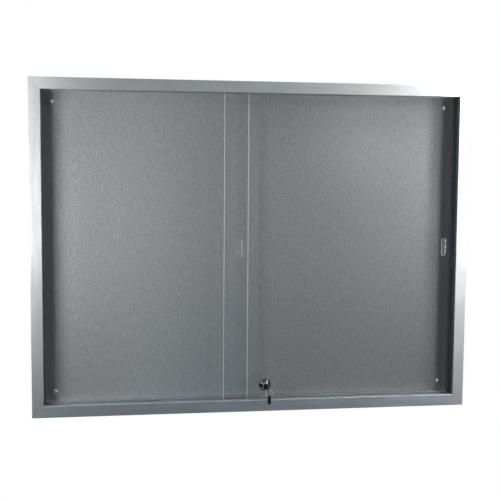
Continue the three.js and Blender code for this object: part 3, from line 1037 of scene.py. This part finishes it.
def node_centre(node: str) -> Vector:
    """The middle of a CAD node's box."""
    low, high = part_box(node)
    return (low + high) * HALF


# Sub-assemblies


@dataclass
class CaseFrame:
    """The four mitred rails and the corner keys inside them."""

    # The rails share one anodised aluminium, and its copies differ only by painted light. The
    # bottom rail's blue-green tone is a painted reflection of the dim bluish room below it. The
    # left rail's darker tone is painted shade. The right rail's inner flank has its own lighter,
    # bluish painted shade.
    level: AnodisedAluminium = AnodisedAluminium("anodised_level", Run.ALONG_X)
    lower_reflection_tinted: AnodisedAluminium = AnodisedAluminium(
        "anodised_lower_painted_reflection", Run.ALONG_X, (0.66, 0.735, 0.785)
    )
    left_side_shaded: AnodisedAluminium = AnodisedAluminium(
        "anodised_left_painted_shade", Run.ALONG_Z, (0.65, 0.655, 0.665)
    )
    right_side_flank_shaded: AnodisedAluminium = AnodisedAluminium(
        "anodised_right_painted_flank", Run.ALONG_Z, flank_shade_tone=(0.30, 0.36, 0.42)
    )
    casting: CastMetal = CastMetal("cast_corner", (0.52, 0.53, 0.54))

    def build(self) -> None:
        """Dresses each rail in the copy of the finish that carries its side's painted light, and
        the keys.
        """
        self.level.dress("rail_top")
        self.lower_reflection_tinted.dress("rail_bottom")
        self.left_side_shaded.dress("rail_left")
        self.right_side_flank_shaded.dress("rail_right")
        self.casting.dress(*nodes_of("corner_key"))
        log.info("rails and corner keys are dressed")


@dataclass
class GlassTracks:
    """The grooved profiles that the doors run in, and their buffers."""

    profile: Plastic = Plastic("track_plastic", (0.055, 0.062, 0.070), roughness=0.38)
    buffer: Rubber = Rubber("buffer_rubber")

    def build(self) -> None:
        """Dresses the profiles and the buffers."""
        self.profile.dress("track_top", "track_bottom", "channel_left", "channel_right")
        self.buffer.dress(*nodes_of("buffer"))
        log.info("tracks, side channels and buffers are dressed")


@dataclass
class DisplayPanel:
    """The felt-faced pin board with its steel back, its wall fixings and its screws.

    Heights in the profiles are millimetres: of the caps out from the felt, and of the sleeves
    and the screws out from the wall.
    """

    felt_cells: tuple[int, int] = (180, 136)
    felt_wave: float = 0.12 * MM
    felt_wave_length: float = 9 * MM
    felt_clearance: float = 1.2 * felt_wave
    hole: Profile = ((5.3, -6.0), (5.3, 6.0))
    hole_steps: int = 32
    fixing_steps: int = 48
    screw_steps: int = 40
    cap_sink: float = 0.1 * MM
    cap_profile: Profile = (
        (3.0, -7.9), (3.0, 0.0), (5.3, 0.0), (5.5, 0.2), (5.5, 1.5), (5.4, 2.2),
        (5.1, 2.8), (4.55, 3.3), (3.8, 3.7), (2.8, 3.97), (1.6, 4.13), (0.6, 4.2),
    )
    sleeve_profile: Profile = (
        (3.3, 0.3), (4.6, 0.3), (5.0, 0.7), (5.0, 11.6), (3.3, 11.6), (3.3, 0.3),
    )
    screw_profile: Profile = (
        (0.4, 16.0), (1.75, 14.0), (1.75, 2.4), (3.4, 0.75), (3.5, 0.45), (3.4, 0.2),
    )
    recess_size: tuple[float, float] = (3.6 * MM, 0.75 * MM)
    recess_top: float = 0.2 * MM
    recess_depth: float = 1.3 * MM
    felt: Felt = Felt("needled_felt")
    core: FibreBoard = FibreBoard("soft_board")
    sheet: ZincSheet = ZincSheet("zinc_sheet")
    cap: PlatedSteel = PlatedSteel("cap_plated", (0.90, 0.91, 0.92), 900.0, 0.26)
    plating: PlatedSteel = PlatedSteel("zinc_plating", (0.58, 0.59, 0.60), 900.0, 0.33)

    def build(self) -> None:
        """Builds the facing, the caps, the sleeves and the screws."""
        self.core.dress("pin_board")
        self.sheet.dress("back_sheet")
        self._facing()
        self._fixings()
        self._screws()

    def _facing(self) -> None:
        """Stretches the felt over the board: a fine grid, drilled at the fixings."""
        low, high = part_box("fabric_facing")
        size, middle = high - low, (low + high) * HALF
        across, up = self.felt_cells
        Bench.clear()
        bpy.ops.mesh.primitive_grid_add(x_subdivisions=across, y_subdivisions=up, size=1)
        facing = Bench.named("felt_facing")
        facing.scale = (size.x, size.z, 1)
        facing.rotation_euler = (math.radians(90), 0, 0)
        facing.location = (middle.x, low.y + self.felt_clearance, middle.z)
        Bench.settle(facing)
        texture = bpy.data.textures.new("felt_wave", "CLOUDS")
        texture.noise_scale = self.felt_wave_length
        Bench.apply(
            facing,
            "DISPLACE",
            texture=texture,
            texture_coords="LOCAL",
            strength=2 * self.felt_wave,
            mid_level=HALF,
            direction="Y",
        )
        bpy.data.textures.remove(texture)
        depth = size.y - 2 * self.felt_clearance
        Bench.apply(facing, "SOLIDIFY", thickness=depth, offset=-1.0)
        cutters = []
        for name in nodes_of("cap_"):
            hole = Bench.turned(f"hole_{name}", self.hole, self.hole_steps)
            self._seat(hole, name, middle.y)
            cutters.append(hole)
        Bench.cut(facing, *cutters)
        Bench.smooth(facing)
        fitted(facing, "frame", self.felt, "fabric_facing")

    def _fixings(self) -> None:
        """Caps on the felt, and the sleeves behind them."""
        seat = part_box("fabric_facing")[0].y - self.cap_sink
        for name in nodes_of("cap_"):
            cap = Bench.turned(f"{name}_dome", self.cap_profile, self.fixing_steps)
            self._seat(cap, name, seat)
            Bench.smooth(cap, angle=40)
            fitted(cap, "frame", self.cap, name)
        for name in nodes_of("sleeve_"):
            sleeve = Bench.turned(f"{name}_turned", self.sleeve_profile, self.fixing_steps)
            self._seat(sleeve, name)
            Bench.smooth(sleeve, angle=40)
            fitted(sleeve, "frame", self.plating, name)

    def _screws(self) -> None:
        """One countersunk screw with a cross recess, copied to every panel screw's place."""
        model = Bench.turned("panel_screw_model", self.screw_profile, self.screw_steps)
        size = (*self.recess_size, 2 * self.recess_depth)
        for turn in (0, 90):
            slot = Bench.block("recess", size, (0, 0, self.recess_top))
            slot.rotation_euler = (0, 0, math.radians(turn))
            Bench.settle(slot)
            Bench.cut(model, slot)
        Bench.smooth(model, angle=35)
        for name in nodes_of("panel_screw"):
            screw = Bench.duplicate(model, f"{name}_crosshead")
            self._seat(screw, name)
            fitted(screw, "frame", self.plating, name)
        bpy.data.objects.remove(model)

    @staticmethod
    def _seat(piece: bpy.types.Object, node: str, depth: float = 0.0) -> None:
        """Puts a turned piece on its CAD node's axis, with its origin at a depth along Y."""
        centre = node_centre(node)
        Bench.set_down(piece, (centre.x, depth, centre.z))


@dataclass
class SlidingDoors:
    """The two panes, the front one with its ground finger pulls."""

    rear_arris: float = 1.9 * MM
    pulls: tuple[GroundPull, ...] = (
        GroundPull(-40.9 * MM, -28.7 * MM, -28.7 * MM, (0.12, 0.3, 0.55), (0.97, 0.98, 0.99)),
        # Painted shade: the outer pull's satin is darker and bluer than the middle one's, standing
        # for the shade by the right rail.
        GroundPull(444.4 * MM, 456.6 * MM, 444.4 * MM, (0.22, 0.3, 0.2), (0.45, 0.59, 0.73)),
    )

    def build(self) -> None:
        """Dresses both panes. Where they overlap, the front one has the gloss of both. Where they
        overlap, the rear one lets most light straight through, so most of the gloss there is the
        front one's.
        """
        rear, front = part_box("glass_left"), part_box("glass_right")
        covered = (front[0].x, rear[1].x)
        Pane("glass_rear_door", rear, arris=self.rear_arris, overlap=covered).dress("glass_left")
        Pane("glass_front_door", front, pulls=self.pulls).dress("glass_right")
        log.info("both doors are dressed")


@dataclass
class PushLock:
    """The push lock. Heights in its profiles are millimetres out from the front door's glass."""

    housing_profile: Profile = (
        (5.8, -6.2), (9.3, -6.2), (9.7, -5.8), (9.7, 1.0), (13.6, 1.0), (14.0, 1.3),
        (14.0, 2.2), (13.4, 3.0), (12.6, 3.4), (12.0, 3.4), (12.0, 8.2), (11.8, 8.4),
        (11.8, 8.7), (12.0, 8.9), (12.0, 9.3), (11.0, 10.3), (10.7, 10.4), (10.1, 10.4),
        (10.1, 3.4), (7.5, 3.4), (7.5, -4.6), (5.8, -4.6), (5.8, -6.2),
    )
    plunger_profile: Profile = (
        (4.9, -6.0), (5.5, -5.4), (5.5, 9.6), (9.8, 9.6), (9.8, 15.6), (9.6, 15.9),
        (8.2, 17.3), (7.9, 17.4), (7.4, 17.4), (7.2, 17.2), (6.2, 17.2), (6.2, 11.4),
        (4.2, 11.4), (4.2, -4.6),
    )
    core_profile: Profile = (
        (4.0, -4.5), (4.0, 11.5), (6.0, 11.5), (6.0, 16.9), (5.7, 17.2), (5.2, 17.25),
    )
    washer_profile: Profile = (
        (10.0, 0.1), (13.4, 0.1), (13.4, 0.9), (10.0, 0.9), (10.0, 0.1),
    )
    nut_profile: Profile = (
        (10.0, -6.1), (12.6, -6.1), (13.0, -5.7), (13.0, -4.7), (12.6, -4.3), (10.0, -4.3),
        (10.0, -6.1),
    )
    notch_size: Triple = (3.2 * MM, 3.0 * MM, 4 * MM)
    notch_reach: float = 13.0 * MM
    notch_height: float = -5.2 * MM
    keyway: tuple[float, float] = (2.4 * MM, 6.6 * MM)
    keyway_floor: float = -3.3 * MM
    keyway_top: float = 28 * MM
    spring_radius: float = 6.5 * MM
    spring_wire: float = 0.5 * MM
    spring_turns: int = 6
    spring_span: Span = (-3.8 * MM, 8.8 * MM)
    press_travel: float = 6 * MM
    # Painted shade and painted highlight: the chrome tones are dark, so the chrome looks like
    # chrome mirroring a dim room. The plunger is lighter to give its rim a highlight, and the core
    # is darkest to darken the lock's middle.
    housing_shaded_tone: Colour = (0.12, 0.135, 0.155)
    plunger_shaded_tone: Colour = (0.33, 0.36, 0.39)
    core_shaded_tone: Colour = (0.04, 0.055, 0.065)
    nut_finish: PlatedSteel = PlatedSteel("nut_nickel", (0.60, 0.60, 0.61), 700.0)
    spring_finish: PlatedSteel = PlatedSteel("spring_steel", (0.50, 0.51, 0.52), 500.0)
    washer_finish: Rubber = Rubber("washer_rubber")

    def __post_init__(self) -> None:
        """Takes the lock's axis from the CAD housing, and centres its finishes on it."""
        centre = node_centre("lock_housing")
        self.axis = (centre.x, GLASS_FRONT, centre.z)
        shaded_tones = {"housing": self.housing_shaded_tone, "plunger": self.plunger_shaded_tone, "core": self.core_shaded_tone}
        self.chrome = {
            part: TurnedMetal(f"{part}_chrome", tone, (centre.x, centre.z))
            for part, tone in shaded_tones.items()
        }

    def build(self) -> None:
        """Builds the lock from the housing inward."""
        housing = Bench.turned("lock_housing_turned", self.housing_profile)
        self._fit(housing, "right_door", self.chrome["housing"], "lock_housing")
        washer = Bench.turned("lock_washer_turned", self.washer_profile)
        self._fit(washer, "right_door", self.washer_finish, "lock_washer")
        self._nut()
        plunger = Bench.turned("lock_plunger_turned", self.plunger_profile)
        self._fit(plunger, "plunger", self.chrome["plunger"], "lock_plunger")
        self._core()
        self._spring()

    def _fit(
        self,
        piece: bpy.types.Object,
        body: str,
        finish: Finish,
        node: str,
        angle: float = 25.0,
    ) -> None:
        """Puts a turned piece on the lock's axis and fits it for its node.

        Args:
            piece: The new piece.
            body: The body that it moves with.
            finish: The finish.
            node: The CAD node that it stands for.
            angle: It is shaded smooth up to this many degrees.
        """
        Bench.set_down(piece, self.axis)
        Bench.smooth(piece, angle)
        fitted(piece, body, finish, node)

    def _nut(self) -> None:
        """The notched nut behind the glass."""
        nut = Bench.turned("lock_nut_notched", self.nut_profile)
        for side in (-1, 1):
            centre = (side * self.notch_reach, 0, self.notch_height)
            Bench.cut(nut, Bench.block("notch", self.notch_size, centre))
        self._fit(nut, "right_door", self.nut_finish, "lock_nut")

    def _core(self) -> None:
        """The key core with its keyway."""
        core = Bench.turned("lock_core_turned", self.core_profile)
        depth = self.keyway_top - self.keyway_floor
        centre = (0, 0, self.keyway_top - depth * HALF)
        Bench.cut(core, Bench.block("keyway", (*self.keyway, depth), centre))
        self._fit(core, "key_core", self.chrome["core"], "lock_core")

    def _spring(self) -> None:
        """The return spring, wound at one length; in the lock it shortens as the plunger is
        pressed.
        """
        low, high = self.spring_span
        wire, turns = self.spring_wire, self.spring_turns
        coil = Coil(wire, self.spring_radius, low, high - low, turns, sides=12, steps=24)
        spring = coil.wound("lock_spring_wound")
        self._fit(spring, "right_door", self.spring_finish, "lock_spring", 60.0)
        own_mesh(spring)


@dataclass
class KeySet:
    """The key, its split ring and its tag."""

    key_edge: float = 0.25 * MM
    groove_width: float = 0.9 * MM
    groove_depth: float = 0.35 * MM
    groove_span: Span = (-1.0 * MM, 17.0 * MM)
    groove_lift: float = 0.9 * MM
    ring_wire: float = 0.4 * MM
    ring_flatness: float = 2.0
    ring_turns: float = 1.75
    ring_rise: float = 0.8 * MM
    ring_heading: float = -150.0
    tag_edge: float = 0.35 * MM
    # Painted shade: the key's nickel is given a dark tone that stands for the shade on the key.
    key_finish: PlatedSteel = PlatedSteel(
        "key_nickel_shaded", (0.16, 0.165, 0.17), (300.0, 2500.0, 300.0), 0.24
    )
    ring_finish: PlatedSteel = PlatedSteel("ring_chrome", (0.95, 0.96, 0.97), 900.0, 0.3)
    tag_finish: Plastic = Plastic(
        "tag_plastic", (0.004, 0.005, 0.007), 0.3, grain=1.2 * MM, dust=0.004, shine=0.25
    )

    def build(self) -> None:
        """Builds the key, the ring and the tag."""
        self._key()
        self._ring()
        tag = Bench.copy_of("key_tag_moulded", "key_tag")
        Bench.rounded(tag, self.tag_edge, angle=25)
        fitted(tag, "key_tag", self.tag_finish, "key_tag")

    def _key(self) -> None:
        """The cut key with broken edges and a groove milled along each side of its blade."""
        key = Bench.copy_of("key_cut", "key")
        low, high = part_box("key")
        middle, half_width = (low + high) * HALF, (high.x - low.x) * HALF
        start, end = (GLASS_FRONT - reach for reach in self.groove_span)
        size = (2 * self.groove_depth, start - end, self.groove_width)
        for side in (-1, 1):
            x = middle.x + side * half_width
            centre = (x, (start + end) * HALF, middle.z + self.groove_lift)
            Bench.cut(key, Bench.block("groove", size, centre))
        Bench.rounded(key, self.key_edge, angle=35)
        fitted(key, "key", self.key_finish, "key")

    def _ring(self) -> None:
        """The split ring: nearly two turns of flat wire side by side."""
        low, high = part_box("key_ring")
        wire, rise, flatness = self.ring_wire, self.ring_rise, self.ring_flatness
        radius = (high.x - low.x) * HALF - wire * flatness
        coil = Coil(wire, radius, -rise * HALF, rise, self.ring_turns, 16, 96, flatness)
        ring = coil.wound("key_ring_split")
        ring.rotation_euler = (0, 0, math.radians(self.ring_heading))
        Bench.settle(ring)
        Bench.set_down(ring, (low + high) * HALF)
        Bench.smooth(ring, angle=60)
        fitted(ring, "key_ring", self.ring_finish, "key_ring")


# Studio


@dataclass(frozen=True)
class SoftBox:
    """A rectangular soft box that faces the middle of the board: metres and watts."""

    name: str
    place: Triple
    power: float
    width: float
    height: float = 0.32

    def hang(self) -> None:
        """Hangs the lamp, unseen by the camera."""
        data = bpy.data.lights.new(self.name, "AREA")
        data.shape = "RECTANGLE"
        data.size, data.size_y = self.width, self.height
        data.energy = self.power
        lamp = bpy.data.objects.new(self.name, data)
        lamp.location = self.place
        lamp.rotation_euler = (-Vector(self.place)).to_track_quat("-Z", "Y").to_euler()
        lamp.visible_camera = False
        bpy.context.scene.collection.objects.link(lamp)


@dataclass(frozen=True)
class Reflector:
    """A pale panel in the room in front, which the metal and the glass mirror.

    Its spans are parts of the direction in which it is seen: to the right, and upward.
    """

    across: Span
    up: Span
    tone: Colour
    blur: float = 0.04

    def light(self, graph: Graph, across: Signal, up: Signal) -> Signal:
        """The panel's colour where a ray to the right and upward meets it, black elsewhere."""
        share = self._inside(across, self.across) * self._inside(up, self.up)
        return graph.mixed(share, BLACK, self.tone)

    def _inside(self, value: Signal, span: Span) -> Signal:
        """1 inside a span, with blurred ends."""
        rise, fall = (value.eased(end - self.blur, end + self.blur) for end in span)
        return rise - fall


@dataclass
class Studio:
    """The camera, the soft boxes, a white surround and a pale floor."""

    camera_place: Triple = (-0.32906, -2.1278, 0.18011)
    camera_yaw: float = 8.665
    camera_pitch: float = 4.993
    camera_roll: float = 0.429
    focal_pixels: float = 928.5
    photo_width: float = 500.0
    sensor: float = 36.0
    soft_boxes: tuple[SoftBox, ...] = (
        SoftBox("left_low", (-0.67, -0.347, -0.25), 0.26, 0.2),
        SoftBox("left_middle", (-0.67, -0.347, 0.05), 1.30, 0.2),
        SoftBox("left_high", (-0.67, -0.347, 0.35), 0.62, 0.2),
        SoftBox("left_wide_middle", (-0.73, -0.435, 0.05), 0.46, 0.2),
        SoftBox("left_wide_high", (-0.73, -0.435, 0.35), 0.39, 0.2),
        SoftBox("right_middle", (0.62, -0.30, 0.05), 0.33, 0.08),
        SoftBox("right_high", (0.70, -0.42, 0.35), 0.38, 0.1),
        SoftBox("right_wide", (0.76, -0.32, 0.35), 1.36, 0.08),
        SoftBox("right_top", (0.66, -0.23, 0.7), 2.6, 0.08),
        SoftBox("right_front_top", (0.80, -0.75, 0.7), 1.09, 0.16),
        SoftBox("far_low", (1.0, -1.0, -0.25), 1.38, 0.26),
        SoftBox("far_high", (1.2, -1.3, 0.35), 0.34, 0.26),
    )
    reflectors: tuple[Reflector, ...] = (
        Reflector((0.0, 0.15), (0.12, 0.3), (1.34, 1.34, 1.34)),
        Reflector((0.15, 0.3), (0.12, 0.3), (2.0, 2.0, 2.0)),
        Reflector((0.0, 0.15), (-0.12, 0.12), (0.50, 0.57, 0.60)),
        Reflector((0.15, 0.3), (-0.12, 0.12), (0.28, 0.32, 0.34)),
        Reflector((0.3, 0.45), (-0.12, 0.12), (0.11, 0.12, 0.13)),
        Reflector((0.225, 0.3), (0.0, 0.12), (0.47, 0.47, 0.48)),
        Reflector((0.0, 0.15), (-0.35, -0.12), (0.32, 0.54, 0.62)),
        Reflector((0.15, 0.3), (-0.35, -0.12), (0.20, 0.31, 0.35)),
        Reflector((0.3, 0.45), (-0.35, -0.12), (0.08, 0.12, 0.13)),
    )
    ceiling: Colour = (0.6, 0.6, 0.6)
    ceiling_rise: Span = (0.65, 0.85)
    backdrop_rise: Span = (0.0, 0.1)
    room_fill: float = 0.06
    floor_height: float = -1.45
    floor_size: float = 9.0
    floor_tone: Colour = (0.8, 0.8, 0.8)
    floor_glow: float = 1.07
    floor_glow_share: float = 0.93

    def build(self) -> None:
        """Sets up the whole studio."""
        self._camera()
        for box in self.soft_boxes:
            box.hang()
        self._world()
        self._floor()
        bpy.context.scene.view_settings.view_transform = "Standard"

    def _camera(self) -> None:
        """Stands the camera where the photograph was taken from."""
        data = bpy.data.cameras.new("camera")
        data.sensor_fit = "HORIZONTAL"
        data.sensor_width = self.sensor
        data.lens = self.focal_pixels / self.photo_width * self.sensor
        camera = bpy.data.objects.new("camera", data)
        turn = Matrix.Rotation(math.radians(-self.camera_yaw), 4, "Z")
        tilt = Matrix.Rotation(math.radians(90 - self.camera_pitch), 4, "X")
        roll = Matrix.Rotation(math.radians(self.camera_roll), 4, "Z")
        camera.matrix_world = Matrix.Translation(self.camera_place) @ turn @ tilt @ roll
        bpy.context.scene.collection.objects.link(camera)
        bpy.context.scene.camera = camera

    def _world(self) -> None:
        """White behind the board for the camera, and a dim room in front of it to mirror."""
        world = bpy.data.worlds.new("studio")
        world.use_nodes = True
        bpy.context.scene.world = world
        graph = Graph(world.node_tree)
        across, back, up = graph.parts(graph.add("ShaderNodeTexCoord", output="Generated"))
        room = graph.mixed(up.eased(*self.ceiling_rise), BLACK, self.ceiling)
        for reflector in self.reflectors:
            room = graph.vector("ADD", room, reflector.light(graph, across, up))
        fill = graph.glow("Background", WHITE, self.room_fill)
        seen = graph.mixed(back.eased(*self.backdrop_rise), room, WHITE)
        bounced = graph.ray("Glossy") | graph.ray("Transmission")
        lit = graph.blended(bounced, fill, graph.glow("Background", seen, 1.0))
        backdrop = graph.glow("Background", WHITE, 1.0)
        graph.show("World", graph.blended(graph.ray("Camera"), lit, backdrop))

    def _floor(self) -> None:
        """A pale floor well under the board, which hangs at reading height."""
        Bench.clear()
        bpy.ops.mesh.primitive_plane_add(size=self.floor_size, location=(0, 0, self.floor_height))
        floor = Bench.named("floor")
        material = bpy.data.materials.new("floor_paint")
        material.use_nodes = True
        graph = Graph(material.node_tree)
        paint = graph.surface(self.floor_tone, Roughness=0.8)
        glow = graph.glow("Emission", WHITE, self.floor_glow)
        share = graph.ray("Camera") * self.floor_glow_share
        graph.show("Material", graph.blended(share, paint, glow))
        floor.data.materials.append(material)


def main() -> None:
    """Builds the sub-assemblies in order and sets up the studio."""
    logging.basicConfig(level=logging.INFO, format="%(name)s: %(message)s")
    assemblies = (CaseFrame(), GlassTracks(), DisplayPanel(), SlidingDoors(), PushLock(), KeySet())
    for part in (*assemblies, Studio()):
        part.build()
        log.info("%s is finished", type(part).__name__)


if __name__ == "__main__":
    main()
